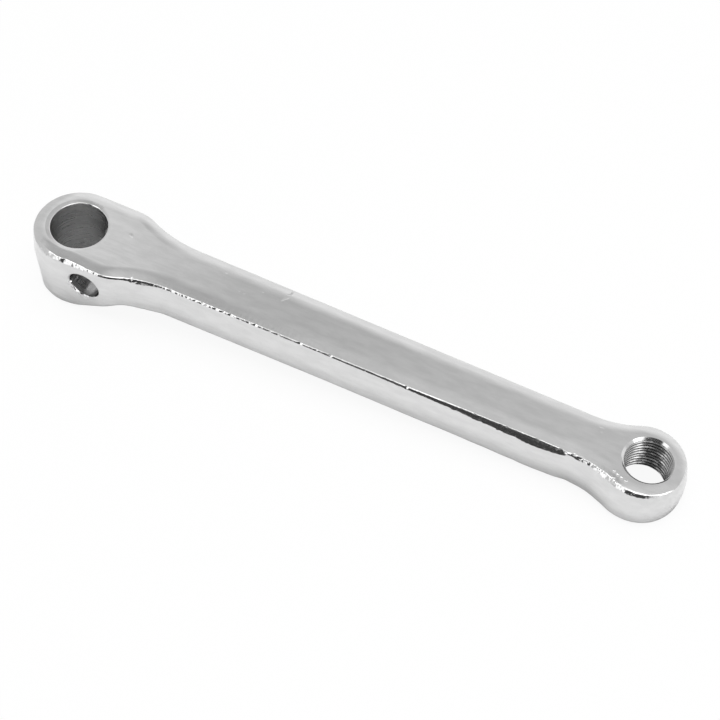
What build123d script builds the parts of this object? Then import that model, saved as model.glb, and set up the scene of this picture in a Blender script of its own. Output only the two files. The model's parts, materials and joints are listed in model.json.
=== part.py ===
"""Left crank arm of a cottered bicycle crankset: one steel forging, ground, polished and plated.

Millimetres, +Z up. The origin is on the spindle axis at the inner face of the boss.
+X points to the pedal axis and +Z to the outer face, which is level along the whole arm.
Widths and radii of the outline are taken at the parting plane of the forging, its widest level.
"""

import os
from math import radians, sin, tan

from build123d import *

# Driving dimensions of the arm
crank_length = 170.0  # spindle axis to pedal axis
arm_thickness = 13.1  # outer face to the flat inner face of the arm
arm_root_width = 18.0  # where the arm leaves the head
arm_tip_width = 15.6  # where the arm meets the pedal eye

# Head, which holds the spindle and its cotter
boss_height = 21.6  # inner face of the boss to the outer face
head_radius = 13.15
head_flare_radius = 38.0
spindle_bore_d = 16.0
cotter_hole_d = 9.0
cotter_offset = 8.2  # spindle axis to cotter axis, along the arm
cotter_depth = 8.3  # outer face to cotter axis
shoulder_offset = 4.2  # cotter axis to the centre of the head's rounded shoulder

# Inner side of the head, where the boss runs up to the arm
boss_flat = 3.0  # flat of the inner face past the spindle axis
ramp_angle = 30.0  # degrees
ramp_start_radius = 14.0
ramp_end_radius = 8.0

# Pedal eye, bored to the tap drill of its 9/16 inch by 20 left-hand thread
eye_radius = 12.2
eye_setback = 0.9  # the eye's outline is centred this far inside the pedal axis
eye_flare_radius = 27.0
pedal_thread_d = 14.288
pedal_hole_d = 13.1  # 33/64 inch

# Sides of the forging, which fall in above and below the parting plane
parting_depth = 6.3  # outer face to parting plane
inner_draft = 5.0  # degrees, below the parting plane
head_fall_in = 0.50  # above it, up to the outer edge
arm_fall_in = 0.80
eye_fall_in = 1.25
side_blend_radius = 20.0

# Outer face, which falls off towards its edge all the way round
crown_drop = 0.75
head_crown = 2.6  # width of the fall on each stretch
arm_crown = 3.2
eye_crown = 2.0
crown_blend_radius = 9.0

# Edges left by grinding and polishing
outer_edge_radius = 0.5
inner_edge_radius = 1.0
bore_edge = 0.3  # on the spindle bore
thread_lead_in = 0.05  # how far each countersink opens past the thread, on the radius

# Sizes that follow from them
eye_x = crank_length - eye_setback
shoulder_x = cotter_offset + shoulder_offset
arm_inner_z = boss_height - arm_thickness
parting_z = boss_height - parting_depth
crown_z = boss_height - crown_drop
cotter_z = boss_height - cotter_depth
boss_fall_in = parting_z * tan(radians(inner_draft))
countersink = (pedal_thread_d - pedal_hole_d) / 2 + thread_lead_in
head_width = 2 * head_radius


def plan_outline(height, head_inset, arm_inset, eye_inset):
    """Outline of the arm at a height, moved inwards by an inset for each stretch."""
    root_half = arm_root_width / 2 - arm_inset
    tip_half = arm_tip_width / 2 - arm_inset
    with BuildSketch(Plane.XY.offset(height)) as outline:
        with Locations((shoulder_x / 2, 0)):
            SlotCenterToCenter(shoulder_x, 2 * (head_radius - head_inset))
        with BuildLine():
            Polyline((0, root_half), (eye_x, tip_half), (eye_x, -tip_half), (0, -root_half), close=True)
        make_face()
        with Locations((eye_x, 0)):
            Circle(eye_radius - eye_inset)
        for side in (1, -1):
            head_corner = (shoulder_x + head_radius, side * root_half)
            fillet(outline.vertices().sort_by_distance(head_corner)[0], head_flare_radius + head_inset)
            eye_corner = (eye_x - eye_radius, side * tip_half)
            fillet(outline.vertices().sort_by_distance(eye_corner)[0], eye_flare_radius + eye_inset)
    return outline.sketch.face()


def side_profile():
    """Profile of the arm seen from the side: the deep boss, its ramp and the level arm."""
    ramp_end = boss_flat + arm_inner_z / tan(radians(ramp_angle))
    ramp_length = arm_inner_z / sin(radians(ramp_angle))
    blend_share = 0.45  # the most of the ramp that the blend at each of its ends may take
    longest_radius = blend_share * ramp_length / tan(radians(ramp_angle / 2))
    left = -head_width
    right = crank_length + head_width
    with BuildSketch(Plane.XZ) as profile:
        with BuildLine():
            Polyline(
                (left, 0),
                (boss_flat, 0),
                (ramp_end, arm_inner_z),
                (right, arm_inner_z),
                (right, boss_height),
                (left, boss_height),
                close=True,
            )
        make_face()
        foot = profile.vertices().sort_by_distance((boss_flat, 0, 0))[0]
        fillet(foot, min(ramp_start_radius, longest_radius))
        top = profile.vertices().sort_by_distance((ramp_end, 0, arm_inner_z))[0]
        fillet(top, min(ramp_end_radius, longest_radius))
    return profile.sketch.face()


def faces_inwards(face):
    """Whether a face is on the inner side and the ramp, and not on the drafted sides."""
    tilt = face.normal_at().get_angle(Vector(0, 0, -1))
    return tilt < (ramp_angle + 90 - inner_draft) / 2


def at_height(edges, height):
    """The edges that lie level at a height."""
    tolerance = 0.01
    return edges.filter_by_position(Axis.Z, height - tolerance, height + tolerance)


def forging():
    """The arm with its sides, crown and edges, before it is bored."""
    boss_outline = plan_outline(0, boss_fall_in, boss_fall_in, boss_fall_in)
    parting_outline = plan_outline(parting_z, 0, 0, 0)
    edge_outline = plan_outline(crown_z, head_fall_in, arm_fall_in, eye_fall_in)
    flat_outline = plan_outline(
        boss_height, head_fall_in + head_crown, arm_fall_in + arm_crown, eye_fall_in + eye_crown
    )
    blank = loft([boss_outline, parting_outline, edge_outline, flat_outline], ruled=True)
    blank = blank & extrude(side_profile(), head_width, both=True)

    inner_edges = blank.faces().filter_by(faces_inwards).edges().filter_by(Axis.Y, reverse=True)
    blank = fillet(inner_edges, inner_edge_radius)
    blank = fillet(at_height(blank.edges(), parting_z), side_blend_radius)
    blank = fillet(at_height(blank.edges(), boss_height), crown_blend_radius)
    return fillet(at_height(blank.edges(), crown_z), outer_edge_radius)


def bored(radius, height, edge):
    """Tool for a hole along Z from 0 to a height, with both rims broken by an edge."""
    rim = Cone(radius + edge, radius, edge)
    tool = Cylinder(radius, height, align=(Align.CENTER, Align.CENTER, Align.MIN))
    tool += Pos(0, 0, edge / 2) * rim
    tool += Pos(0, 0, height - edge / 2) * Rot(180, 0, 0) * rim
    return tool


# The seam of the cotter hole faces the spindle, off the wall that the cotter bears on
cotter_plane = Plane((cotter_offset, 0, cotter_z), x_dir=(-1, 0, 0), z_dir=(0, 1, 0))

spindle_bore = bored(spindle_bore_d / 2, boss_height, bore_edge)
cotter_hole = cotter_plane * Cylinder(cotter_hole_d / 2, 2 * head_width)
pedal_hole = Pos(crank_length, 0, arm_inner_z) * bored(pedal_hole_d / 2, arm_thickness, countersink)

arm = forging() - spindle_bore - cotter_hole - pedal_hole

os.makedirs("parts", exist_ok=True)
export_step(arm, "parts/crank_arm.step")
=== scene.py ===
"""Left crank arm of a cottered bicycle crankset: chrome plate over a forging, worn along its edges.

Every length is in metres. The origin is on the spindle axis at the inner face of the boss, +X points
to the pedal axis and +Z to the outer face.
"""

import json
import math
from typing import NamedTuple

import bmesh
import bpy
import numpy as np
from bpy.props import FloatProperty, FloatVectorProperty, PointerProperty
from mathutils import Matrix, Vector


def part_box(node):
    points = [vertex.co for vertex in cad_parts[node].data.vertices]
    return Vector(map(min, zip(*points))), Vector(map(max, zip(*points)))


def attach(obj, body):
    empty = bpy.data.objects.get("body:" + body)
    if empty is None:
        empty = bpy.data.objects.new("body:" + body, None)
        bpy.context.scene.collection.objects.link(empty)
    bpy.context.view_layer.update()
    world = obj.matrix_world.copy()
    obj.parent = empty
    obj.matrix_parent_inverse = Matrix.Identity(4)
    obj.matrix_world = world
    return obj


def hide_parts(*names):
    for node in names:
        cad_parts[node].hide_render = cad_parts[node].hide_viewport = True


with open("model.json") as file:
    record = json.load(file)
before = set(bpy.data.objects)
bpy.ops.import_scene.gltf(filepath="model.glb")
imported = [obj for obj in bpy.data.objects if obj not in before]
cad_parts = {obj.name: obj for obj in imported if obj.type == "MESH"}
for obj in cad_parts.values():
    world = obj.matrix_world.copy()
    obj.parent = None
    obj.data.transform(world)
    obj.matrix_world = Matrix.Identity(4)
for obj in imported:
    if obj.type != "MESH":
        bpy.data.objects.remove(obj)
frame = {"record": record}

bl_info = {
    "name": "Crank arm",
    "version": (1, 0, 0),
    "blender": (4, 5, 0),
    "location": "3D View > Sidebar > Crank arm",
    "description": "Models a chrome-plated crank arm and the studio that it lies in",
    "category": "Add Mesh",
}

MM = 0.001
QUARTER_TURN = math.pi / 2
FULL_TURN = 2 * math.pi
WELD = 0.002 * MM
DOT_RADIUS = 0.01 * MM
OVERCUT = 1.0 * MM
# Upright edges longer than this are divided, faces that lean less than this along a bore are its wall, and
# edges sharper than this stay sharp.
TALL_EDGE = 1.0 * MM
WALL_TILT = 0.1
SHARP_RIM = math.radians(32)

# How finely the outline, the blends and the holes are divided.
HEAD_STEPS = 70
CHEEK_STEPS = 48
SHOULDER_STEPS = 22
HEAD_FLARE_STEPS = 80
ARM_STEPS = 360
EYE_FLARE_STEPS = 70
EYE_STEPS = 90
SIDE_SEGMENTS = 10
CROWN_SEGMENTS = 8
OUTER_EDGE_SEGMENTS = 7
INNER_EDGE_SEGMENTS = 5
INNER_SIDE_CUTS = 5
OUTER_SIDE_CUTS = 8
COTTER_SIDE_CUTS = 5
BORE_STEPS = 96
RIM_STEPS = 5
BEAD_STEPS = 3
SPARE_TURNS = 4

# How far the marks on the near edge, and then their finish, reach below it and above it.
WEAR_REACH = 2.0 * MM
BLOW_REACH = 3.0 * MM
NICK_REACH = 1.0 * MM
EDGE_LIP = 0.08 * MM
FINISH_REACH = 2.4 * MM
FINISH_LIP = 0.5 * MM

# The share of half the arm's width from which the edge of the arm was ground back.
FACET_FADE = 0.8
# The share of their height by which the beads that press the dents stand off the face.
BEAD_LIFT = 0.75
# The burred side of the cotter hole, along the arm and up, and how near to it the burrs begin and are full.
BURR_SIDE = Vector((-0.62, -0.78))
BURR_FADE = (0.5, 0.8)

# How the arm lies on the floor: from the boss to the eye, along the arm and up.
LYING_RUN = 179.1 * MM
LYING_RISE = 8.5 * MM
FLOOR_SIZE = 6.0
SENSOR_WIDTH = 36.0
WHITE = (1, 1, 1, 1)
PAPER = (0.9, 0.9, 0.9)

MOUNTS = {mount["name"]: mount for mount in frame["record"]["mounts"]}
SPINDLE = MOUNTS["spindle_bore"]
COTTER = MOUNTS["cotter_hole"]
PEDAL = MOUNTS["pedal_thread"]
CAD_LOW, CAD_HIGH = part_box("crank_arm")


def length(name, description, default):
    """A size that the user can set."""
    return FloatProperty(
        name=name, description=description, default=default, min=0, precision=5, unit="LENGTH"
    )


def angle(name, description, degrees):
    """An angle that the user can set."""
    return FloatProperty(name=name, description=description, default=math.radians(degrees), subtype="ANGLE")


def color(name, description, default):
    """A colour that the user can set."""
    return FloatVectorProperty(
        name=name, description=description, default=default, subtype="COLOR", min=0, max=1
    )


# The hand-ground facet along the near outer edge: millimetres from the spindle axis, its height there, and
# how many degrees it leans past the side.
GROUND_FACET = (
    (-9, 0.0, 30),
    (-6, 1.2, 30),
    (-2, 1.2, 30),
    (0, 0.9, 30),
    (3, 1.1, 30),
    (7, 0.8, 30),
    (10, 0.5, 24),
    (17, 0.6, 23),
    (21, 0.7, 23),
    (23.5, 1.15, 23),
    (27, 0.95, 23),
    (30, 0.4, 23),
    (60, 0.3, 23),
    (80, 0.3, 23),
    (100, 0.65, 23),
    (112, 0.8, 31),
    (120, 0.95, 31),
    (124, 1.25, 31),
    (128, 1.2, 31),
    (133, 1.55, 31),
    (136, 1.5, 31),
    (139, 1.9, 31),
    (142, 1.85, 31),
    (145, 1.6, 31),
    (148, 1.4, 31),
    (151, 0.6, 23),
    (153, 0.9, 23),
    (157, 0.8, 23),
    (161, 1.3, 23),
    (164, 1.1, 23),
    (168, 0.8, 23),
    (176, 0.8, 23),
    (181, 0.0, 23),
)
# How much of the facet's depth was taken off the edge: millimetres from the spindle axis, and the share.
FACET_BACK = (
    (12.4, 1.0),
    (37.2, 0.0),
    (105, 0.0),
    (115, 0.45),
    (148, 0.45),
    (155, 0.0),
)
# How worn that edge is: millimetres from the spindle axis, and the share of the full wear there.
EDGE_WEAR = (
    (-8, 0.0),
    (-3, 0.7),
    (12, 0.7),
    (16, 0.2),
    (24, 0.4),
    (32, 0.9),
    (52, 0.7),
    (70, 0.4),
    (100, 0.2),
    (118, 0.3),
    (128, 0.8),
    (150, 1.0),
    (168, 1.0),
    (176, 0.4),
    (181, 0.0),
)
# Where the edge was hammered: millimetres from the spindle axis, and the share of the full depth there.
EDGE_BLOWS = (
    (-9, 0.0),
    (-5, 0.5),
    (9, 0.5),
    (12, 0.0),
    (145, 0.0),
    (150, 1.0),
    (165, 1.0),
    (171, 0.4),
    (178, 0.0),
)
# Single nicks in that edge, in millimetres from the spindle axis.
EDGE_NICKS = (2.3, 21.9, 42.8, 51.5, 59.0, 72.5, 81.5, 104.0)

# Small dents and scratches in the outer face, in millimetres: place along and across the arm, length,
# width and depth, and the turn of the length from the arm in degrees.
DENTS = (
    (14.8, 3.5, 2.2, 1.3, 0.18, -30),
    (44.2, 4.1, 0.7, 0.5, 0.05, 20),
    (50.2, 0.0, 0.6, 0.4, 0.04, 0),
    (51.8, -0.1, 0.7, 0.5, 0.05, 35),
    (56.1, 2.7, 0.9, 0.4, 0.04, 10),
    (62.8, 3.8, 3.8, 0.7, 0.08, 57),
    (63.3, 5.8, 1.9, 0.7, 0.07, 41),
    (155.3, 4.1, 1.5, 0.45, 0.04, 8),
    (155.9, 2.6, 1.3, 0.45, 0.04, 8),
    (163.1, -7.3, 1.0, 0.9, 0.15, 0),
    (164.3, -7.9, 1.1, 0.9, 0.16, 0),
    (163.7, -9.0, 1.0, 0.8, 0.15, 0),
    (165.5, -8.3, 1.1, 0.9, 0.16, 0),
    (166.9, -8.8, 1.2, 0.9, 0.16, 0),
)


class ArmSizes(bpy.types.PropertyGroup):
    """Sizes of the forging, which are those of the solid that the looks are built around."""

    crank_length: length("Crank length", "Spindle axis to pedal axis", PEDAL["pos_m"][0])
    boss_height: length("Boss height", "Inner face of the boss to the outer face", CAD_HIGH.z)
    arm_thickness: length("Arm thickness", "Outer face to the flat inner face of the arm", 13.1 * MM)
    arm_root_width: length("Arm root width", "Width where the arm leaves the head", 18.0 * MM)
    arm_tip_width: length("Arm tip width", "Width where the arm meets the pedal eye", 15.6 * MM)

    head_radius: length("Head radius", "Radius of the head at the parting plane", 13.15 * MM)
    head_flare: length("Head flare", "Radius of the hollow from the head to the arm", 38.0 * MM)
    shoulder: length("Shoulder", "Spindle axis to the centre of the head's rounded shoulder", 12.4 * MM)
    eye_radius: length("Eye radius", "Radius of the pedal eye at the parting plane", 12.2 * MM)
    eye_setback: length("Eye setback", "How far the eye's outline is centred inside the pedal axis", 0.9 * MM)
    eye_flare: length("Eye flare", "Radius of the hollow from the arm to the eye", 27.0 * MM)

    parting_depth: length("Parting depth", "Outer face to the parting plane", 6.3 * MM)
    inner_draft: angle("Inner draft", "Draft of the sides below the parting plane", 5.0)
    head_fall_in: length("Head fall-in", "How far the head's side leans in up to its edge", 0.50 * MM)
    arm_fall_in: length("Arm fall-in", "How far the arm's side leans in up to its edge", 0.80 * MM)
    eye_fall_in: length("Eye fall-in", "How far the eye's side leans in up to its edge", 1.25 * MM)
    side_blend: length("Side blend", "Half the width of the blend over the parting plane", 2.9 * MM)

    crown_drop: length("Crown drop", "How far the outer face falls off to its edge", 0.75 * MM)
    head_crown: length("Head crown", "Width of the fall on the head", 2.6 * MM)
    arm_crown: length("Arm crown", "Width of the fall on the arm", 3.2 * MM)
    eye_crown: length("Eye crown", "Width of the fall on the eye", 2.0 * MM)
    crown_blend: length("Crown blend", "Half the width of the blend from the fall to the flat", 1.2 * MM)

    outer_edge: length("Outer edge", "Half the width of the rounded outer edge", 0.4 * MM)
    wear_depth: length("Wear depth", "How far the worn edge wanders", 0.12 * MM)
    wear_grain: length("Wear grain", "Size of the marks along the worn edge", 0.6 * MM)
    facet_ragged: length("Ragged facet", "How far the lower edge of the ground facet wanders", 0.3 * MM)
    facet_reach: length("Facet reach", "How far from the lower edge of the facet it wanders", 0.8 * MM)
    blow_depth: length("Blow depth", "How far the hammered stretches of the edge wander", 0.3 * MM)
    blow_grain: length("Blow grain", "Size of the marks along the hammered stretches", 1.6 * MM)
    nick_depth: length("Nick depth", "Depth of a nick in the edge", 0.16 * MM)
    nick_width: length("Nick width", "Half the width of a nick in the edge", 0.25 * MM)
    inner_edge: length("Inner edge", "Half the width of the rounded inner edge", 1.0 * MM)

    boss_flat: length("Boss flat", "Flat of the inner face past the spindle axis", 3.0 * MM)
    ramp_angle: angle("Ramp angle", "Slope from the boss up to the arm", 30.0)
    ramp_start: length("Ramp start", "Radius where the boss turns up into the ramp", 14.0 * MM)
    ramp_end: length("Ramp end", "Radius where the ramp turns level with the arm", 8.0 * MM)

    bore_radius: length("Bore radius", "Radius of the spindle bore", SPINDLE["dims"]["r_mm"] * MM)
    bore_rim: length("Bore rim", "Radius of the rim of the spindle bore", 0.4 * MM)
    bore_dish: length("Bore dish", "How far the polished face dips to the spindle bore", 0.17 * MM)
    dish_lean: angle("Dish lean", "Slope of the polished face at the spindle bore", 9.0)
    cotter_radius: length("Cotter radius", "Radius of the cotter hole", COTTER["dims"]["r_mm"] * MM)
    cotter_rim: length("Cotter rim", "Radius of the rim of the cotter hole", 1.0 * MM)
    rim_lean: angle("Rim lean", "Slope of the broken edge round a bore", 30.0)
    burr_height: length("Burr height", "Height of the burrs that the cotter drill left", 1.0 * MM)
    thread_minor: length("Thread minor radius", "Radius of the pedal hole's wall", PEDAL["dims"]["r_mm"] * MM)
    thread_major: length("Thread major radius", "Radius to the roots of the pedal thread", 7.144 * MM)
    thread_pitch: length("Thread pitch", "Pitch of the pedal thread", 1.27 * MM)
    thread_lead_in: length("Thread lead-in", "How far the countersinks open past the thread", 0.15 * MM)
    lead_in_lean: angle("Lead-in lean", "Slope of the countersinks from the face", 38.0)


class PlateFinish(bpy.types.PropertyGroup):
    """Colours of the plate and of the bare steel in the holes."""

    plate_color: color("Plate", "Colour of the chrome plate", (0.73, 0.73, 0.73))
    bore_color: color("Spindle bore", "Colour of the bored steel", (0.88, 0.88, 0.88))
    cotter_color: color("Cotter hole", "Colour of the reamed cotter hole", (0.47, 0.47, 0.47))
    thread_color: color("Thread", "Colour of the cut thread", (0.52, 0.52, 0.52))
    # The thread's painted shade: this dark colour is painted into its roots and down one side.
    thread_shade_color: color("Grease", "Colour of the old grease in the thread", (0.1, 0.1, 0.1))
    wave_height: length("Wave height", "Height of the polishing waves in the plate", 0.4 * MM)


class StudioLook(bpy.types.PropertyGroup):
    """The camera, the light and the floor."""

    camera_place: FloatVectorProperty(
        name="Camera place", description="Where the camera stands", default=(0.19568, -0.28063, 0.43382),
        subtype="TRANSLATION", unit="LENGTH", precision=5,
    )
    camera_turn: FloatVectorProperty(
        name="Camera turn", description="How the camera is turned", subtype="EULER", unit="ROTATION",
        default=[math.radians(degrees) for degrees in (35.459, -2.966, 25.277)],
    )
    focal_length: FloatProperty(
        name="Focal length", description="Focal length of the lens in millimetres", default=94.788, min=1,
        unit="CAMERA",
    )
    lamp_place: FloatVectorProperty(
        name="Lamp place", description="Where the overhead lamp hangs", default=(0.1, 0.0, 1.0),
        subtype="TRANSLATION", unit="LENGTH",
    )
    lamp_size: length("Lamp size", "Width of the overhead lamp", 1.0)
    lamp_power: FloatProperty(
        name="Lamp power", description="Power of the overhead lamp in watts", default=7.2, min=0,
        unit="POWER",
    )
    room_light: FloatProperty(
        name="Room light", description="Strength of the white room round the arm", default=0.5, min=0,
    )
    paper_glow: FloatProperty(
        name="Paper glow", description="How far the paper shows plain white to the camera", default=0.93,
        min=0, max=1, subtype="FACTOR",
    )
    # The reach of the painted shadow in the paper's colour.
    shadow_reach: length("Shadow reach", "How far the shadow on the paper reaches from the arm", 25 * MM)


class Move(NamedTuple):
    """One stretch of a traced line: an arc about a centre if it turns, and otherwise a straight run."""

    to: Vector
    turn: float
    steps: int

    def mirrored(self):
        """The same stretch on the other side of the arm, traced backwards."""
        if self.turn:
            return Move(Vector((self.to.x, -self.to.y)), self.turn, self.steps)
        return Move(Vector((-self.to.x, self.to.y)), self.turn, self.steps)


def along_arm(table):
    """The share that a table gives at a place along the arm."""
    places, shares = np.array(table).T
    places = places * MM
    return lambda place: np.interp(place, places, shares)


def pick(piece):
    """Makes a piece the only one that is selected, and the active one."""
    bpy.ops.object.select_all(action="DESELECT")
    piece.select_set(True)
    bpy.context.view_layer.objects.active = piece


def start_piece(name):
    """A new object at the origin with an empty mesh, open in edit mode."""
    bpy.ops.object.select_all(action="DESELECT")
    bpy.ops.mesh.primitive_circle_add(vertices=3, radius=DOT_RADIUS)
    piece = bpy.context.object
    piece.name = name
    piece.data.name = name
    bpy.ops.object.mode_set(mode="EDIT")
    bpy.ops.mesh.select_all(action="SELECT")
    bpy.ops.mesh.delete(type="VERT")
    return piece


def trace(start, moves, place, axis):
    """Draws a line from a start point, by extruding and spinning its last vertex."""
    bpy.ops.mesh.select_mode(type="VERT")
    bpy.ops.mesh.select_all(action="DESELECT")
    bpy.ops.mesh.primitive_circle_add(vertices=3, radius=DOT_RADIUS, location=place(start))
    bpy.ops.mesh.merge(type="CENTER")
    for move in moves:
        if move.turn:
            bpy.ops.mesh.spin(steps=move.steps, angle=-move.turn, center=place(move.to), axis=axis)
        else:
            step = (place(move.to) - place(Vector((0, 0)))) / move.steps
            bpy.ops.mesh.extrude_repeat(steps=move.steps, offset=step)


def weld():
    """Joins the ends of traced and spun lines."""
    bpy.ops.mesh.select_all(action="SELECT")
    bpy.ops.mesh.remove_doubles(threshold=WELD)


def select_edges(wanted):
    """Selects only the edges that a test picks out."""
    bpy.ops.mesh.select_mode(type="EDGE")
    bpy.ops.mesh.select_all(action="DESELECT")
    mesh = bpy.context.object.data
    edit = bmesh.from_edit_mesh(mesh)
    for edge in edit.edges:
        if wanted(edge):
            edge.select_set(True)
    edit.select_flush_mode()
    bmesh.update_edit_mesh(mesh)


def select_level(*heights):
    """Selects the edges that lie level at one of the heights."""
    select_edges(lambda edge: any(
        all(abs(vertex.co.z - height) < WELD for vertex in edge.verts) for height in heights
    ))


def cut(piece, tool):
    """Takes a closed tool away from a piece, with the tool's finishes on the cut, and removes the tool."""
    bpy.ops.object.mode_set(mode="OBJECT")
    pick(piece)
    modifier = piece.modifiers.new("cut", "BOOLEAN")
    modifier.operation = "DIFFERENCE"
    modifier.solver = "EXACT"
    modifier.material_mode = "TRANSFER"
    modifier.object = tool
    bpy.ops.object.modifier_apply(modifier=modifier.name)
    bpy.data.objects.remove(tool)


def flare_centre(hub, hub_radius, radius, foot, along, side):
    """Centre of the hollow between a round hub and a straight edge.

    Side is 1 for a hollow past the hub and -1 for one before it.
    """
    normal = Vector((-along.y, along.x))
    offset = foot + normal * radius - hub
    reach = offset.dot(along)
    span = math.sqrt(reach ** 2 - offset.length_squared + (hub_radius + radius) ** 2)
    return hub + offset + along * (side * span - reach)


def heading(vector):
    """Angle of a plan vector from +X."""
    return math.atan2(vector.y, vector.x)


def plan_outline(sizes, head_inset, arm_inset, eye_inset):
    """Start and moves of the arm's outline, moved inwards by an inset for each stretch."""
    head_radius = sizes.head_radius - head_inset
    eye_radius = sizes.eye_radius - eye_inset
    head_flare = sizes.head_flare + head_inset
    eye_flare = sizes.eye_flare + eye_inset
    spindle = Vector((0, 0))
    shoulder = Vector((sizes.shoulder, 0))
    eye = Vector((sizes.crank_length - sizes.eye_setback, 0))
    root = Vector((0, sizes.arm_root_width / 2 - arm_inset))
    tip = Vector((eye.x, sizes.arm_tip_width / 2 - arm_inset))
    along = (tip - root).normalized()
    normal = Vector((-along.y, along.x))

    head_hollow = flare_centre(shoulder, head_radius, head_flare, root, along, 1)
    eye_hollow = flare_centre(eye, eye_radius, eye_flare, root, along, -1)
    arm_edge = (eye_hollow - normal * eye_flare) - (head_hollow - normal * head_flare)
    head_angle = heading(head_hollow - shoulder)
    eye_angle = heading(eye_hollow - eye)
    slope = heading(along)
    upper = [
        Move(spindle, -QUARTER_TURN, HEAD_STEPS),
        Move(shoulder - spindle, 0, CHEEK_STEPS),
        Move(shoulder, head_angle - QUARTER_TURN, SHOULDER_STEPS),
        Move(head_hollow, slope + QUARTER_TURN - head_angle, HEAD_FLARE_STEPS),
        Move(arm_edge, 0, ARM_STEPS),
        Move(eye_hollow, eye_angle - QUARTER_TURN - slope, EYE_FLARE_STEPS),
        Move(eye, -eye_angle, EYE_STEPS),
    ]
    return Vector((-head_radius, 0)), upper + [move.mirrored() for move in reversed(upper)]


def is_upright(edge, below, above):
    """Whether an edge climbs a good part of a side between two heights."""
    low, high = sorted(vertex.co.z for vertex in edge.verts)
    return low > below - WELD and high < above + WELD and high - low > TALL_EDGE


def is_by_cotter(edge, sizes):
    """Whether an edge is on the near side, round the mouth of the cotter hole."""
    reach = 2 * sizes.cotter_radius
    return all(vertex.co.y < 0 and abs(vertex.co.x - COTTER["pos_m"][0]) < reach for vertex in edge.verts)


def ramp_ends(sizes):
    """Where the boss starts to turn up into the ramp, and where the ramp has turned level with the arm."""
    rise = sizes.boss_height - sizes.arm_thickness
    half_slope = math.tan(sizes.ramp_angle / 2)
    start = sizes.boss_flat - sizes.ramp_start * half_slope
    end = sizes.boss_flat + rise / math.tan(sizes.ramp_angle) + sizes.ramp_end * half_slope
    return start, end


def underside(sizes, along):
    """Height of the inner side: the flat boss, the ramp between two arcs, and the flat arm."""
    rise = sizes.boss_height - sizes.arm_thickness
    start, end = ramp_ends(sizes)
    from_start = max(0, along - start)
    from_end = max(0, end - along)
    if from_start < sizes.ramp_start * math.sin(sizes.ramp_angle):
        return sizes.ramp_start - math.sqrt(sizes.ramp_start ** 2 - from_start ** 2)
    if from_end < sizes.ramp_end * math.sin(sizes.ramp_angle):
        return rise - sizes.ramp_end + math.sqrt(sizes.ramp_end ** 2 - from_end ** 2)
    return (along - sizes.boss_flat) * math.tan(sizes.ramp_angle)


def raise_underside(sizes, parting):
    """Slides the lowest points up the sides to the ramp and the arm, and closes the inner side."""
    mesh = bpy.context.object.data
    edit = bmesh.from_edit_mesh(mesh)
    for edge in edit.edges:
        low, high = sorted(edge.verts, key=lambda vertex: vertex.co.z)
        if low.co.z < WELD and abs(high.co.z - parting) < WELD:
            low.co = low.co.lerp(high.co, underside(sizes, low.co.x) / parting)
    bmesh.update_edit_mesh(mesh)

    start, end = ramp_ends(sizes)
    select_edges(lambda edge: edge.is_boundary and all(start < vertex.co.x < end for vertex in edge.verts))
    bpy.ops.mesh.bridge_edge_loops()
    select_edges(lambda edge: edge.is_boundary)
    bpy.ops.mesh.fill_holes(sides=0)


def forge_blank(sizes):
    """The body of the arm before it is bored: its sides, inner side, crown and rounded edges."""
    top = sizes.boss_height
    crown = top - sizes.crown_drop
    parting = top - sizes.parting_depth
    falls = (sizes.head_fall_in, sizes.arm_fall_in, sizes.eye_fall_in)
    crowns = (sizes.head_crown, sizes.arm_crown, sizes.eye_crown)
    levels = {
        0: (parting * math.tan(sizes.inner_draft),) * 3,
        parting: (0, 0, 0),
        crown: falls,
        top: [fall + width for fall, width in zip(falls, crowns)],
    }
    blank = start_piece("plated_arm")
    for height, insets in levels.items():
        start, moves = plan_outline(sizes, *insets)
        trace(start, moves, lambda point: Vector((point.x, point.y, height)), (0, 0, 1))
    weld()

    select_level(top)
    bpy.ops.mesh.edge_face_add()
    for low, high in ((0, parting), (parting, crown), (crown, top)):
        select_level(low, high)
        bpy.ops.mesh.bridge_edge_loops()
    raise_underside(sizes, parting)
    bpy.ops.mesh.select_all(action="SELECT")
    bpy.ops.mesh.normals_make_consistent(inside=False)

    steep = (math.cos(sizes.ramp_angle) + math.sin(sizes.inner_draft)) / 2

    def is_inner(edge):
        tilts = sorted(face.normal.z for face in edge.link_faces)
        return tilts[0] < -steep < tilts[1]

    select_edges(is_inner)
    bpy.ops.mesh.bevel(
        offset=sizes.inner_edge, segments=INNER_EDGE_SEGMENTS, profile=0.5, affect="EDGES",
        loop_slide=False,
    )
    for height, width, segments in (
        (parting, sizes.side_blend, SIDE_SEGMENTS),
        (top, sizes.crown_blend, CROWN_SEGMENTS),
        (crown, sizes.outer_edge, OUTER_EDGE_SEGMENTS),
    ):
        select_level(height)
        bpy.ops.mesh.bevel(offset=width, segments=segments, profile=0.5, affect="EDGES")
    for low, high, cuts in ((0, parting, INNER_SIDE_CUTS), (parting, crown, OUTER_SIDE_CUTS)):
        select_edges(lambda edge: is_upright(edge, low, high))
        bpy.ops.mesh.subdivide(number_cuts=cuts, quadcorner="STRAIGHT_CUT")
    select_edges(lambda edge: is_upright(edge, 0, parting) and is_by_cotter(edge, sizes))
    bpy.ops.mesh.subdivide(number_cuts=COTTER_SIDE_CUTS, quadcorner="STRAIGHT_CUT")
    bpy.ops.object.mode_set(mode="OBJECT")
    return blank


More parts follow.
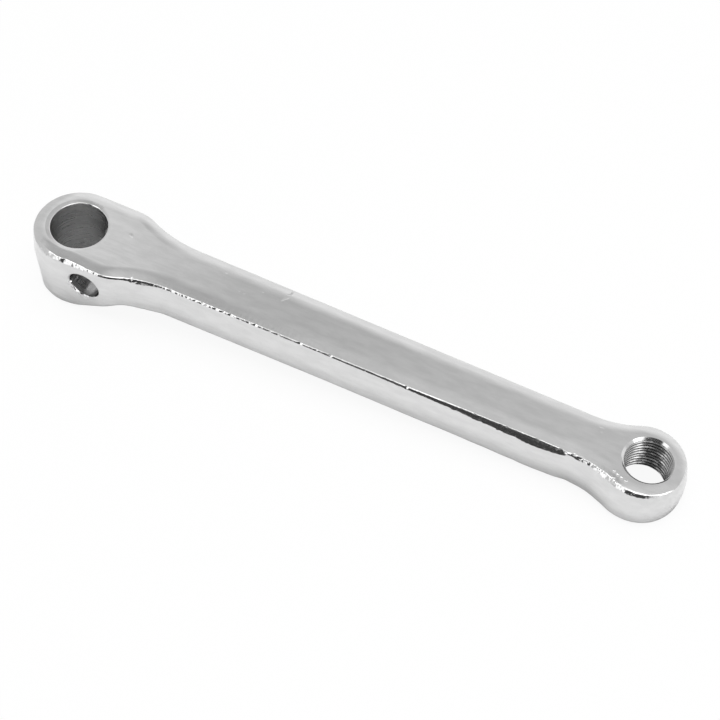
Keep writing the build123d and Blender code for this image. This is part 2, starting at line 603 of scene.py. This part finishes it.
def press(blank, name, weigh, axis, strength, texture=None):
    """Moves the surface by a strength times a weight for each place, and by a texture if one is given."""
    group = blank.vertex_groups.new(name=name)
    for vertex in blank.data.vertices:
        weight = weigh(vertex.co)
        if weight > 0:
            group.add([vertex.index], weight, "REPLACE")
    modifier = blank.modifiers.new(name, "DISPLACE")
    modifier.direction = axis
    modifier.strength = strength
    modifier.mid_level = 0.5 if texture else 0
    modifier.texture = texture
    modifier.texture_coords = "LOCAL"
    modifier.vertex_group = group.name
    bpy.ops.object.modifier_apply(modifier=modifier.name)
    blank.vertex_groups.clear()


def cloud_texture(name, grain):
    """Cloudy noise with a grain of a given size."""
    texture = bpy.data.textures.new(name, "CLOUDS")
    texture.noise_scale = grain
    return texture


def grind_near_edge(blank, sizes):
    """Leaves the near side fuller below a facet that was ground along its outer edge by hand."""
    edge = sizes.boss_height - sizes.crown_drop
    places, heights, leans = np.array(GROUND_FACET).T
    places = places * MM
    heights = heights * MM
    slopes = np.tan(np.radians(leans))
    share_back = along_arm(FACET_BACK)
    fullest = max(heights * slopes)

    def fullness(point):
        if point.y > 0:
            return 0
        depth = min(edge - point.z, np.interp(point.x, places, heights))
        return depth * np.interp(point.x, places, slopes) / fullest

    def set_back(point):
        if point.x < sizes.crank_length / 2:
            fade_end = sizes.head_radius - sizes.head_crown
            fade_start = sizes.bore_radius
        else:
            fade_end = sizes.arm_tip_width / 2
            fade_start = FACET_FADE * fade_end
        outward = np.interp(-point.y, (fade_start, fade_end), (0, 1))
        return outward * share_back(point.x) * np.interp(point.x, places, heights * slopes) / fullest

    def ragged(point):
        height = np.interp(point.x, places, heights)
        reach = max(0, 1 - abs(edge - point.z - height) / sizes.facet_reach) if point.y < 0 else 0
        return reach * height / max(heights)

    press(blank, "set_back", set_back, "Y", fullest)
    press(blank, "ground_facet", fullness, "Y", -fullest)
    grain = cloud_texture("facet_grain", sizes.wear_grain)
    press(blank, "ragged_facet", ragged, "NORMAL", sizes.facet_ragged, grain)
    bpy.data.textures.remove(grain)


def near_edge(point, edge, below, above):
    """How near a place is to the outer edge of the near side, fading out over a height below and above it."""
    drop = edge - point.z
    reach = below if drop > 0 else above
    return max(0, 1 - abs(drop) / reach) if point.y < 0 else 0


def wear_near_edge(blank, sizes):
    """Roughens and nicks the ground edge."""
    edge = sizes.boss_height - sizes.crown_drop
    wear = along_arm(EDGE_WEAR)
    blows = along_arm(EDGE_BLOWS)

    def worn(point):
        return near_edge(point, edge, WEAR_REACH, EDGE_LIP) * wear(point.x)

    def hammered(point):
        return near_edge(point, edge, BLOW_REACH, EDGE_LIP) * blows(point.x)

    def nicked(point):
        nearest = min(abs(point.x - nick * MM) for nick in EDGE_NICKS) / sizes.nick_width
        return near_edge(point, edge, NICK_REACH, EDGE_LIP) * math.exp(-nearest ** 2)

    grain = cloud_texture("wear_grain", sizes.wear_grain)
    grain.noise_depth = 1
    press(blank, "worn_edge", worn, "NORMAL", sizes.wear_depth, grain)
    grain.noise_scale = sizes.blow_grain
    press(blank, "hammered_edge", hammered, "NORMAL", sizes.blow_depth, grain)
    press(blank, "nicked_edge", nicked, "NORMAL", -sizes.nick_depth)
    bpy.data.textures.remove(grain)


def spin_tool(name, start, moves, place, arc_axis, centre, axis):
    """A closed cutter turned from a half profile that starts and ends on its axis."""
    tool = start_piece(name)
    trace(start, moves, place, arc_axis)
    bpy.ops.mesh.select_all(action="SELECT")
    bpy.ops.mesh.spin(steps=BORE_STEPS, angle=FULL_TURN, center=centre, axis=axis)
    weld()
    bpy.ops.mesh.normals_make_consistent(inside=False)
    return tool


def plate_rims(tool, wall, rim, axis):
    """Gives the wall of a bore its own finish, and the rims that roll over into the plate theirs."""
    bpy.ops.object.mode_set(mode="OBJECT")
    tool.data.materials.append(wall)
    tool.data.materials.append(rim)
    for face in tool.data.polygons:
        face.material_index = 0 if abs(face.normal.dot(Vector(axis))) < WALL_TILT else 1


def bore_moves(radius, low, high, rim, low_lean, high_lean):
    """Start and moves of a bore's half profile, whose wall rolls over a rounded rim into a leaning mouth."""
    low_turn = QUARTER_TURN - low_lean
    high_turn = QUARTER_TURN - high_lean
    low_flare = 2 * OVERCUT * Vector((math.cos(low_lean), math.sin(low_lean)))
    high_flare = 2 * OVERCUT * Vector((math.cos(high_lean), math.sin(high_lean)))
    low_mouth = low_flare + rim * Vector((1 - math.cos(low_turn), math.sin(low_turn) - 1))
    high_mouth = high_flare + rim * Vector((1 - math.cos(high_turn), math.sin(high_turn) - 1))
    moves = [
        Move(Vector((radius + low_mouth.x, 0)), 0, 1),
        Move(Vector((-low_flare.x, low_flare.y)), 0, 1),
        Move(Vector((radius + rim, low + rim)), -low_turn, RIM_STEPS),
        Move(Vector((0, high - low - 2 * rim)), 0, 1),
        Move(Vector((radius + rim, high - rim)), -high_turn, RIM_STEPS),
        Move(high_flare, 0, 1),
        Move(Vector((-radius - high_mouth.x, 0)), 0, 1),
    ]
    return Vector((0, low - low_mouth.y)), moves


def spindle_tool(sizes, wall, plate):
    """The cutter for the spindle bore."""
    axis = (0, 0, 1)
    high = sizes.boss_height - sizes.bore_dish
    start, moves = bore_moves(sizes.bore_radius, 0, high, sizes.bore_rim, sizes.rim_lean, sizes.dish_lean)
    tool = spin_tool(
        "spindle_tool", start, moves, lambda point: Vector((point.x, 0, point.y)), (0, -1, 0),
        (0, 0, 0), axis,
    )
    plate_rims(tool, wall, plate, axis)
    return tool


def cotter_tool(sizes, wall, plate):
    """The cutter for the cotter hole, which crosses the spindle bore."""
    axis = (0, 1, 0)
    centre = Vector(COTTER["pos_m"])
    mouth = CAD_HIGH.y
    lean = sizes.rim_lean
    start, moves = bore_moves(sizes.cotter_radius, -mouth, mouth, sizes.cotter_rim, lean, lean)
    tool = spin_tool(
        "cotter_tool", start, moves, lambda point: centre + Vector((point.x, point.y, 0)), (0, 0, 1),
        centre, axis,
    )
    plate_rims(tool, wall, plate, axis)
    return tool


def thread_tool(sizes, thread):
    """A left-hand screw that cuts the pedal thread, a little longer than the eye is thick."""
    pitch = sizes.thread_pitch
    root_flat = pitch / 3
    crest_flat = pitch / 8
    flank = (pitch - root_flat - crest_flat) / 2
    depth = sizes.thread_major - sizes.thread_minor
    turns = math.ceil(sizes.arm_thickness / pitch) + SPARE_TURNS
    tool = start_piece("thread_tool")
    moves = [
        Move(Vector((0, root_flat)), 0, 1),
        Move(Vector((depth, flank)), 0, 1),
        Move(Vector((0, crest_flat)), 0, 1),
        Move(Vector((-depth, flank)), 0, 1),
    ]
    start = Vector((sizes.thread_minor, 0))
    trace(start, moves, lambda point: Vector((point.x, 0, point.y)), (0, -1, 0))
    bpy.ops.object.mode_set(mode="OBJECT")
    screw = tool.modifiers.new("thread", "SCREW")
    screw.axis = "Z"
    screw.angle = FULL_TURN
    screw.screw_offset = -pitch
    screw.iterations = turns
    screw.steps = screw.render_steps = BORE_STEPS
    screw.use_merge_vertices = True
    screw.merge_threshold = WELD
    bpy.ops.object.modifier_apply(modifier=screw.name)

    bpy.ops.object.mode_set(mode="EDIT")
    weld()
    inner = sizes.boss_height - sizes.arm_thickness
    middle = inner + sizes.arm_thickness / 2
    bpy.ops.transform.translate(value=(sizes.crank_length, 0, middle + (turns - 1) * pitch / 2))
    for height, way in ((inner - OVERCUT, -1), (sizes.boss_height + OVERCUT, 1)):
        bpy.ops.mesh.select_all(action="SELECT")
        bpy.ops.mesh.bisect(plane_co=(0, 0, height), plane_no=(0, 0, way), use_fill=True, clear_outer=True)
    bpy.ops.mesh.select_all(action="SELECT")
    bpy.ops.mesh.normals_make_consistent(inside=False)
    tool.data.materials.append(thread)
    return tool


def countersink_tool(sizes, plate):
    """The cutter that opens both mouths of the pedal thread."""
    inner = sizes.boss_height - sizes.arm_thickness
    rim = sizes.thread_major + sizes.thread_lead_in
    slope = Vector((2 * OVERCUT, 2 * OVERCUT * math.tan(sizes.lead_in_lean)))
    mouth = Vector((rim, 0)) + slope / 2
    moves = [
        Move(Vector((mouth.x, 0)), 0, 1),
        Move(Vector((-slope.x, slope.y)), 0, 1),
        Move(Vector((0, sizes.arm_thickness + 2 * (mouth.y - slope.y))), 0, 1),
        Move(slope, 0, 1),
        Move(Vector((-mouth.x, 0)), 0, 1),
    ]
    centre = Vector((sizes.crank_length, 0, 0))
    tool = spin_tool(
        "countersink_tool", Vector((0, inner - mouth.y)), moves,
        lambda point: centre + Vector((point.x, 0, point.y)), (0, -1, 0), centre, (0, 0, 1),
    )
    tool.data.materials.append(plate)
    return tool


def dent_tool(arm, plate):
    """Flattened beads that press the dents and scratches into the outer face."""
    hits = [
        arm.ray_cast(Vector((along * MM, across * MM, CAD_HIGH.z + OVERCUT)), Vector((0, 0, -1)))
        for along, across, *_ in DENTS
    ]
    if not all(found for found, *_ in hits):
        raise RuntimeError("A dent lies beside the outer face")
    tool = start_piece("dent_tool")
    for (_, _, dent_length, width, depth, turn), (_, place, normal, _) in zip(DENTS, hits):
        half = Vector((dent_length, width, 0)) * MM / 2 / math.sqrt(1 - BEAD_LIFT ** 2)
        half.z = depth * MM / (1 - BEAD_LIFT)
        bpy.ops.mesh.primitive_ico_sphere_add(
            subdivisions=BEAD_STEPS, radius=1, location=place + normal * BEAD_LIFT * half.z, scale=half,
            rotation=(0, 0, math.radians(turn)),
        )
    bpy.ops.object.mode_set(mode="OBJECT")
    tool.data.materials.append(plate)
    return tool


def burred(point, sizes):
    """Where the drill left burrs: the lower left of the cotter hole's near rim."""
    away = Vector((point.x - COTTER["pos_m"][0], point.z - COTTER["pos_m"][2]))
    if point.y > -sizes.bore_radius:
        return 0
    rim = sizes.cotter_radius + sizes.cotter_rim
    reach = np.interp(away.length, (rim, rim + sizes.cotter_rim), (1, 0))
    return reach * np.interp(away.normalized().dot(BURR_SIDE), BURR_FADE, (0, 1))


def raise_burrs(arm, sizes):
    """Tears up the rim of the cotter hole."""
    grain = cloud_texture("burr_grain", sizes.wear_grain)
    press(arm, "burred_rim", lambda point: burred(point, sizes), "NORMAL", sizes.burr_height, grain)
    bpy.data.textures.remove(grain)


def mark_wear(arm, sizes):
    """Stores how worn each place is, for the finish."""
    edge = sizes.boss_height - sizes.crown_drop
    wear = along_arm(EDGE_WEAR)
    worn = [
        max(near_edge(vertex.co, edge, FINISH_REACH, FINISH_LIP) * wear(vertex.co.x),
            burred(vertex.co, sizes))
        for vertex in arm.data.vertices
    ]
    arm.data.attributes.new("wear", "FLOAT", "POINT").data.foreach_set("value", worn)


def clean_mesh(arm):
    """Merges what the cuts left on top of each other."""
    pick(arm)
    bpy.ops.object.mode_set(mode="EDIT")
    weld()
    bpy.ops.mesh.dissolve_degenerate(threshold=WELD)
    bpy.ops.mesh.delete_loose()
    bpy.ops.object.mode_set(mode="OBJECT")


# A mix node has sockets for each kind of data, so those for values and colours go by their number.
MIX_VALUES = (2, 3)
MIX_COLORS = (6, 7)
MIXED_VALUE = 0
MIXED_COLOR = 2

# Scales of the marks in the finishes, per metre along each axis.
STREAK_SCALE = (25, 900, 900)
MOTTLING_SCALE = (150, 500, 500)
WAVE_SCALE = (12, 100, 100)
TEAR_SCALE = (1800, 1200, 1200)
STAIN_SCALE = (160, 160, 160)
BORE_RING_SCALE = (120, 120, 2600)
COTTER_RING_SCALE = (150, 2200, 150)
TAP_MARK_SCALE = (500, 500, 1500)

# The noise of the fine marks, and the part of it that they run over.
MARK_DETAIL = 4
MARK_ROUGHNESS = 0.6
MARK_RANGE = (0.3, 0.7)

# Roughness of each finish from its smoothest to its roughest, and what wear and the thread's painted shade
# add to it.
PLATE_ROUGHNESS = (0.08, 0.15)
BORE_ROUGHNESS = (0.26, 0.38)
COTTER_ROUGHNESS = (0.24, 0.4)
THREAD_ROUGHNESS = (0.12, 0.3)
WORN_ROUGHNESS = 0.04
SHADED_ROUGHNESS = 0.25

# The plate runs between these shares of its colour. Its streaks and tears are these shares of a wave high.
MOTTLING = (0.95, 1.04)
STREAK_HEIGHT = 0.006
TEAR_HEIGHT = 0.1

# The bored steel runs between these shares of its colour by its marks, and is dull at a grazing angle.
BORE_SHADES = (1.042, 1.13)
BORE_EDGE_TINT = (0, 0, 0, 1)
RING_HEIGHT = 0.0015 * MM

# Painted shade darkens the thread towards one side, is smeared by the tap marks and fills the roots.
SHADED_SIDE = (0, 1, 0)
SHADE_SMEAR = 0.1
SHADE_RANGE = (0.79, 1.08)
ROOT_SHADE = 0.7
TAP_MARK_HEIGHT = 0.02 * MM

# The paper's colour is darkened as painted shadow, from full to none as this share of the room shows past the
# arm.
SHADOW_RANGE = (0.28, 0.64)
SHADOW_SHARE = 0.23
SHADOW_SAMPLES = 8


def add_node(tree, kind, inputs=None, **settings):
    """Adds a node with its settings, and sets or links its inputs."""
    added = tree.nodes.new(kind)
    for name, value in settings.items():
        setattr(added, name, value)
    for name, value in (inputs or {}).items():
        if isinstance(value, bpy.types.NodeSocket):
            tree.links.new(value, added.inputs[name])
        else:
            added.inputs[name].default_value = value
    return added


def calculate(tree, operation, *values):
    """The result of a math node."""
    return add_node(tree, "ShaderNodeMath", dict(enumerate(values)), operation=operation).outputs[0]


def combine(tree, operation, *vectors, result="Vector"):
    """The result of a vector math node."""
    inputs = dict(enumerate(vectors))
    return add_node(tree, "ShaderNodeVectorMath", inputs, operation=operation).outputs[result]


def spread(tree, value, low, high, to_low=0.0, to_high=1.0, smooth=True):
    """A value moved from one range to another, held at its ends."""
    inputs = {"Value": value, "From Min": low, "From Max": high, "To Min": to_low, "To Max": to_high}
    kind = "SMOOTHSTEP" if smooth else "LINEAR"
    return add_node(tree, "ShaderNodeMapRange", inputs, interpolation_type=kind).outputs["Result"]


def new_finish(name, base_color, metallic=1.0):
    """A new material, with its tree and its shader."""
    material = bpy.data.materials.new(name)
    material.use_nodes = True
    tree = material.node_tree
    shader = tree.nodes["Principled BSDF"]
    shader.inputs["Base Color"].default_value = (*base_color, 1)
    shader.inputs["Metallic"].default_value = metallic
    return material, tree, shader


def stretched(tree, scale):
    """Object coordinates, scaled by a factor for each axis."""
    place = add_node(tree, "ShaderNodeTexCoord").outputs["Object"]
    return add_node(tree, "ShaderNodeMapping", {"Vector": place, "Scale": scale}).outputs["Vector"]


def noise(tree, scale, detail=2.0, roughness=0.5):
    """Noise over the surface, with a scale per metre for each axis."""
    inputs = {"Vector": stretched(tree, scale), "Scale": 1.0, "Detail": detail, "Roughness": roughness}
    return add_node(tree, "ShaderNodeTexNoise", inputs).outputs["Fac"]


def tool_marks_group():
    """Node group for the fine marks of a wheel, drill or tap, with a scale per metre for each axis."""
    group = bpy.data.node_groups.new("tool_marks", "ShaderNodeTree")
    group.interface.new_socket("Scale", in_out="INPUT", socket_type="NodeSocketVector")
    group.interface.new_socket("Marks", in_out="OUTPUT", socket_type="NodeSocketFloat")
    start = group.nodes.new("NodeGroupInput")
    end = group.nodes.new("NodeGroupOutput")
    marks = noise(group, start.outputs["Scale"], MARK_DETAIL, MARK_ROUGHNESS)
    group.links.new(spread(group, marks, *MARK_RANGE), end.inputs["Marks"])
    return group


def tool_marks(tree, scale):
    """The fine marks of a tool, from 0 to 1."""
    group = bpy.data.node_groups.get("tool_marks") or tool_marks_group()
    return add_node(tree, "ShaderNodeGroup", {"Scale": scale}, node_tree=group).outputs["Marks"]


def tint(tree, shader, share, dark, light):
    """Gives a shader a colour that runs from a dark to a light one."""
    first, second = MIX_COLORS
    inputs = {"Factor": share, first: (*dark, 1), second: (*light, 1)}
    mix = add_node(tree, "ShaderNodeMix", inputs, data_type="RGBA")
    tree.links.new(mix.outputs[MIXED_COLOR], shader.inputs["Base Color"])


def mix_light(tree, share, first, second):
    """Passes from one light to another by a share."""
    return add_node(tree, "ShaderNodeMixShader", {0: share, 1: first, 2: second}).outputs[0]


def raise_bumps(tree, shader, height, distance):
    """Raises bumps by a height, over the distance that a height of 1 stands for."""
    bump = add_node(tree, "ShaderNodeBump", {"Height": height, "Distance": distance, "Strength": 1.0})
    tree.links.new(bump.outputs["Normal"], shader.inputs["Normal"])


def chrome_plate(finish):
    """Bright plate over a polished forging, torn along the worn edge."""
    material, tree, shader = new_finish("chrome_plate", finish.plate_color)
    streaks = tool_marks(tree, STREAK_SCALE)
    mottling = tool_marks(tree, MOTTLING_SCALE)
    waves = noise(tree, WAVE_SCALE)
    wear = add_node(tree, "ShaderNodeAttribute", attribute_name="wear").outputs["Fac"]
    torn = calculate(tree, "MULTIPLY", wear, noise(tree, TEAR_SCALE, roughness=MARK_ROUGHNESS))
    tint(tree, shader, mottling, *(Vector(finish.plate_color) * share for share in MOTTLING))
    rough = spread(tree, streaks, 0, 1, *PLATE_ROUGHNESS)
    rough = calculate(tree, "MULTIPLY_ADD", wear, WORN_ROUGHNESS, rough)
    tree.links.new(rough, shader.inputs["Roughness"])
    height = calculate(tree, "MULTIPLY_ADD", streaks, STREAK_HEIGHT, waves)
    height = calculate(tree, "MULTIPLY_ADD", torn, TEAR_HEIGHT, height)
    raise_bumps(tree, shader, height, finish.wave_height)
    return material


def bored_steel(name, base_color, ring_scale, roughness):
    """Bare steel in a hole, with stains and with rings left by the tool."""
    material, tree, shader = new_finish(name, base_color)
    shader.inputs["Specular Tint"].default_value = BORE_EDGE_TINT
    rings = tool_marks(tree, ring_scale)
    marks = calculate(tree, "ADD", rings, tool_marks(tree, STAIN_SCALE))
    tint(tree, shader, marks, *(Vector(base_color) * shade for shade in BORE_SHADES))
    tree.links.new(spread(tree, rings, 0, 1, *roughness), shader.inputs["Roughness"])
    raise_bumps(tree, shader, rings, RING_HEIGHT)
    return material


def threaded_steel(finish, sizes):
    """Cut thread, bright on its crests, with painted shade in its roots and down one side."""
    material, tree, shader = new_finish("threaded_steel", finish.thread_color)
    place = add_node(tree, "ShaderNodeTexCoord").outputs["Object"]
    away = combine(tree, "SUBTRACT", place, (sizes.crank_length, 0, 0))
    flat = combine(tree, "MULTIPLY", away, (1, 1, 0))
    radius = combine(tree, "LENGTH", flat, result="Value")
    # Painted shade: the colour darkens towards one side of the thread and into its roots.
    facing = combine(tree, "DOT_PRODUCT", flat, SHADED_SIDE, result="Value")
    facing = calculate(tree, "DIVIDE", facing, radius)
    marks = tool_marks(tree, TAP_MARK_SCALE)
    smeared = calculate(tree, "MULTIPLY_ADD", marks, SHADE_SMEAR, facing)
    side = spread(tree, smeared, *SHADE_RANGE)
    root = spread(tree, radius, sizes.thread_minor, sizes.thread_major, 0, ROOT_SHADE)
    painted_shade = calculate(tree, "MAXIMUM", side, root)
    tint(tree, shader, painted_shade, finish.thread_color, finish.thread_shade_color)
    rough = spread(tree, marks, 0, 1, *THREAD_ROUGHNESS)
    rough = calculate(tree, "MULTIPLY_ADD", painted_shade, SHADED_ROUGHNESS, rough)
    tree.links.new(rough, shader.inputs["Roughness"])
    raise_bumps(tree, shader, marks, TAP_MARK_HEIGHT)
    return material


def floor_paper(look):
    """White paper that shows white to the camera, and keeps a soft shadow round what lies on it, deepened by
    painted shadow in its colour.
    """
    material, tree, shader = new_finish("floor_paper", PAPER, 0.0)
    shader.inputs["Roughness"].default_value = 1.0
    reach = {"Distance": look.shadow_reach}
    # Painted shadow: the paper's colour darkens where the arm hides the room from it.
    sky = add_node(tree, "ShaderNodeAmbientOcclusion", reach, samples=SHADOW_SAMPLES).outputs["AO"]
    tint(tree, shader, spread(tree, sky, *SHADOW_RANGE), Vector(PAPER) * SHADOW_SHARE, PAPER)
    path = add_node(tree, "ShaderNodeLightPath")
    share = calculate(tree, "MULTIPLY", path.outputs["Is Camera Ray"], look.paper_glow)
    white = add_node(tree, "ShaderNodeEmission", {"Color": WHITE, "Strength": 1.0})
    mix = mix_light(tree, share, shader.outputs[0], white.outputs[0])
    tree.links.new(mix, tree.nodes["Material Output"].inputs["Surface"])
    return material


# What the plate mirrors, by the sideways part of its direction: -1 is to the left and 1 to the right.
OVERHEAD_PANEL = (
    (-0.40, 0.82),
    (-0.345, 0.82),
    (-0.31, 0.68),
    (-0.285, 0.59),
    (-0.25, 0.56),
    (-0.17, 0.62),
    (-0.08, 0.66),
    (0.20, 0.70),
)
NEAR_PANEL = (
    (-0.40, 0.54),
    (-0.345, 0.50),
    (-0.28, 0.50),
    (-0.24, 0.66),
    (-0.15, 0.73),
    (-0.05, 0.76),
)
STRIP_PANEL = (
    (-0.40, 2.40),
    (-0.33, 2.20),
    (-0.30, 1.20),
    (-0.19, 1.10),
    (-0.13, 2.20),
    (0.20, 2.40),
)
FRONT_PANEL = (
    (-0.325, 1.50),
    (-0.275, 0.06),
    (0.50, 0.06),
    (0.62, 0.60),
    (0.80, 1.00),
)
PANEL_PEAK = 2.5
FAR_WALL = 1.0
LEFT_WALL = 0.72
LEFT_WALL_BLEND = (-0.50, -0.62)
# The panels in order over the arm from the far wall to the front, and the degrees over which each begins.
PANELS = (
    (OVERHEAD_PANEL, 24, 52),
    (NEAR_PANEL, 60, 78),
    (STRIP_PANEL, 97, 102),
    (FRONT_PANEL, 120, 128),
)


def panel(tree, side, stops):
    """Brightness of a panel that changes from left to right."""
    ramp = add_node(tree, "ShaderNodeValToRGB", {"Fac": spread(tree, side, -1, 1, smooth=False)})
    elements = ramp.color_ramp.elements
    for _ in stops[2:]:
        elements.new(0.5)
    for element, (place, brightness) in zip(elements, stops):
        element.position = (place + 1) / 2
        element.color = (*(brightness / PANEL_PEAK,) * 3, 1)
    return calculate(tree, "MULTIPLY", ramp.outputs["Color"], PANEL_PEAK)


def give_way(tree, first, second, value, start, end):
    """Passes from one brightness to another as a value goes from a start to an end."""
    low, high = MIX_VALUES
    inputs = {"Factor": spread(tree, value, start, end), low: first, high: second}
    return add_node(tree, "ShaderNodeMix", inputs, data_type="FLOAT").outputs[MIXED_VALUE]


def glow(tree, strength):
    """White light of a given strength from all round."""
    return add_node(tree, "ShaderNodeBackground", {"Color": WHITE, "Strength": strength}).outputs[0]


def light_studio(world, look):
    """White all round, with the panels of the studio for what the plate mirrors."""
    world.use_nodes = True
    tree = world.node_tree
    tree.nodes.clear()
    direction = add_node(tree, "ShaderNodeTexCoord").outputs["Generated"]
    part = add_node(tree, "ShaderNodeSeparateXYZ", {"Vector": direction})
    side = part.outputs["X"]
    height = calculate(tree, "ABSOLUTE", part.outputs["Z"])
    climb = calculate(tree, "ARCTAN2", height, part.outputs["Y"])
    over = calculate(tree, "DEGREES", climb)
    lit = FAR_WALL
    for stops, start, end in PANELS:
        lit = give_way(tree, lit, panel(tree, side, stops), over, start, end)
    lit = give_way(tree, lit, LEFT_WALL, side, *LEFT_WALL_BLEND)
    path = add_node(tree, "ShaderNodeLightPath")
    glossy = calculate(tree, "MAXIMUM", path.outputs["Is Glossy Ray"], path.outputs["Is Transmission Ray"])
    room = mix_light(tree, glossy, glow(tree, look.room_light), glow(tree, lit))
    seen = mix_light(tree, path.outputs["Is Camera Ray"], room, glow(tree, 1.0))
    add_node(tree, "ShaderNodeOutputWorld", {"Surface": seen})


def smooth_shading(arm):
    """Shades the arm smooth up to its sharp rims, with each flat kept flat."""
    pick(arm)
    bpy.ops.object.shade_smooth_by_angle(angle=SHARP_RIM)
    weighted = arm.modifiers.new("weighted", "WEIGHTED_NORMAL")
    weighted.keep_sharp = True
    bpy.ops.object.modifier_apply(modifier=weighted.name)


class CRANK_OT_arm(bpy.types.Operator):
    """Models the arm: forged blank, worn edge, bored head and threaded eye"""

    bl_idname = "crank.arm"
    bl_label = "Make the arm"

    def execute(self, context):
        sizes = context.scene.crank_sizes
        finish = context.scene.crank_finish
        plate = chrome_plate(finish)
        bored = bored_steel("bored_steel", finish.bore_color, BORE_RING_SCALE, BORE_ROUGHNESS)
        reamed = bored_steel("reamed_steel", finish.cotter_color, COTTER_RING_SCALE, COTTER_ROUGHNESS)
        threaded = threaded_steel(finish, sizes)
        arm = forge_blank(sizes)
        arm.data.materials.append(plate)
        grind_near_edge(arm, sizes)
        wear_near_edge(arm, sizes)
        cut(arm, spindle_tool(sizes, bored, plate))
        cut(arm, cotter_tool(sizes, reamed, plate))
        raise_burrs(arm, sizes)
        cut(arm, thread_tool(sizes, threaded))
        cut(arm, countersink_tool(sizes, plate))
        cut(arm, dent_tool(arm, plate))
        clean_mesh(arm)
        smooth_shading(arm)
        mark_wear(arm, sizes)
        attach(arm, "root")
        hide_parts("crank_arm")
        return {"FINISHED"}


class CRANK_OT_stage(bpy.types.Operator):
    """Lays the pale floor, and sets the studio light and the camera"""

    bl_idname = "crank.stage"
    bl_label = "Set the stage"

    def execute(self, context):
        look = context.scene.crank_studio
        scene = context.scene
        scene.view_settings.view_transform = "Standard"

        bpy.ops.object.select_all(action="DESELECT")
        slope = math.atan2(LYING_RISE, LYING_RUN)
        bpy.ops.mesh.primitive_plane_add(size=FLOOR_SIZE, rotation=(0, -slope, 0))
        floor = context.object
        floor.name = "floor"
        floor.data.materials.append(floor_paper(look))

        bpy.ops.object.light_add(type="AREA", location=look.lamp_place)
        lamp = context.object
        lamp.name = "overhead_lamp"
        lamp.data.shape = "DISK"
        lamp.data.size = look.lamp_size
        lamp.data.energy = look.lamp_power
        lamp.visible_glossy = False
        aim = (CAD_LOW + CAD_HIGH) / 2 - lamp.location
        lamp.rotation_euler = aim.to_track_quat("-Z", "Y").to_euler()

        world = bpy.data.worlds.new("studio")
        scene.world = world
        light_studio(world, look)

        bpy.ops.object.camera_add(location=look.camera_place, rotation=look.camera_turn)
        camera = context.object
        camera.data.sensor_width = SENSOR_WIDTH
        camera.data.lens = look.focal_length
        scene.camera = camera
        return {"FINISHED"}


class CRANK_PT_panel(bpy.types.Panel):
    """Lists the steps that make the crank arm and its stage"""

    bl_idname = "CRANK_PT_panel"
    bl_label = "Crank arm"
    bl_space_type = "VIEW_3D"
    bl_region_type = "UI"
    bl_category = "Crank arm"

    def draw(self, context):
        for step in (CRANK_OT_arm, CRANK_OT_stage):
            self.layout.operator(step.bl_idname)


CLASSES = (ArmSizes, PlateFinish, StudioLook, CRANK_OT_arm, CRANK_OT_stage, CRANK_PT_panel)


def register():
    for each in CLASSES:
        bpy.utils.register_class(each)
    bpy.types.Scene.crank_sizes = PointerProperty(type=ArmSizes)
    bpy.types.Scene.crank_finish = PointerProperty(type=PlateFinish)
    bpy.types.Scene.crank_studio = PointerProperty(type=StudioLook)


def unregister():
    del bpy.types.Scene.crank_studio
    del bpy.types.Scene.crank_finish
    del bpy.types.Scene.crank_sizes
    for each in reversed(CLASSES):
        bpy.utils.unregister_class(each)


def main():
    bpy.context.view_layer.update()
    register()
    bpy.ops.crank.arm()
    bpy.ops.crank.stage()


if __name__ == "__main__":
    main()
